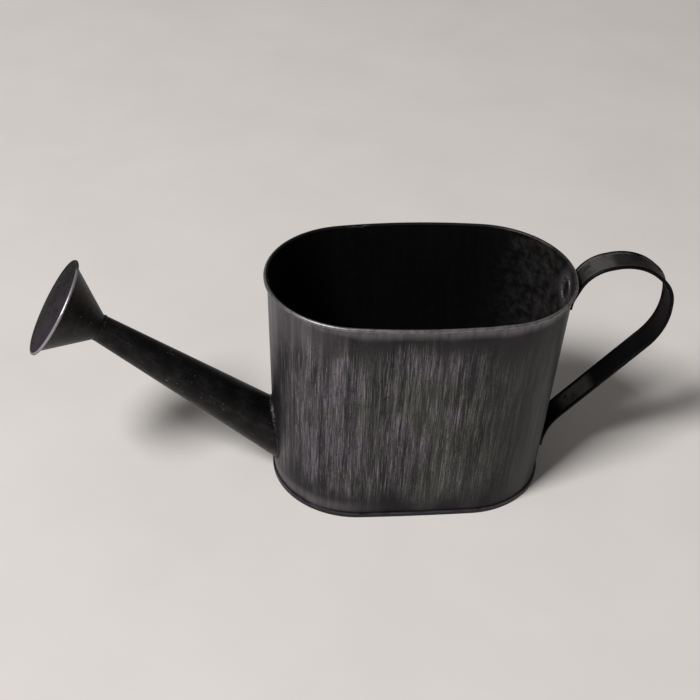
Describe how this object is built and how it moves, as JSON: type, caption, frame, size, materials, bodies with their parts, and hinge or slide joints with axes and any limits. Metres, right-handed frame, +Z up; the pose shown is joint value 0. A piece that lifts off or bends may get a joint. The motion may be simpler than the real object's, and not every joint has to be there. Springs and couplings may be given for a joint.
{
  "type": "watering can",
  "caption": "Small oval watering can of dark sheet metal with a rolled rim, a straight spout with a flared rose, and a looped strap handle.",
  "frame": {"origin": "middle of the oval ring that the can stands on", "axes": "+Z up; the spout points along -X and the handle along +X"},
  "size_m": [0.42, 0.1258, 0.1689],
  "materials": {
    "body_metal": "blackened and brushed by hand, satin, with lighter vertical streaks",
    "wire_metal": "drawn wire, hidden in the rim",
    "base_metal": "blackened, satin",
    "spout_metal": "blackened, satin",
    "rose_metal": "blackened, satin",
    "rose_face_metal": "blackened and rubbed back to a warm grey",
    "handle_metal": "blackened, satin, rubbed grey on the flat",
    "solder": "blackened solder, lumpy"
  },
  "bodies": {
    "root": {"body_shell": "body_metal", "rim_wire": "wire_metal", "side_seam_solder": "solder", "base_pan": "base_metal", "base_solder": "solder", "spout_tube": "spout_metal", "spout_solder": "solder", "rose_cone": "rose_metal", "rose_face": "rose_face_metal", "rose_solder": "solder", "handle_strap": "handle_metal", "handle_top_solder": "solder", "handle_bottom_solder": "solder"}
  },
  "joints": []
}
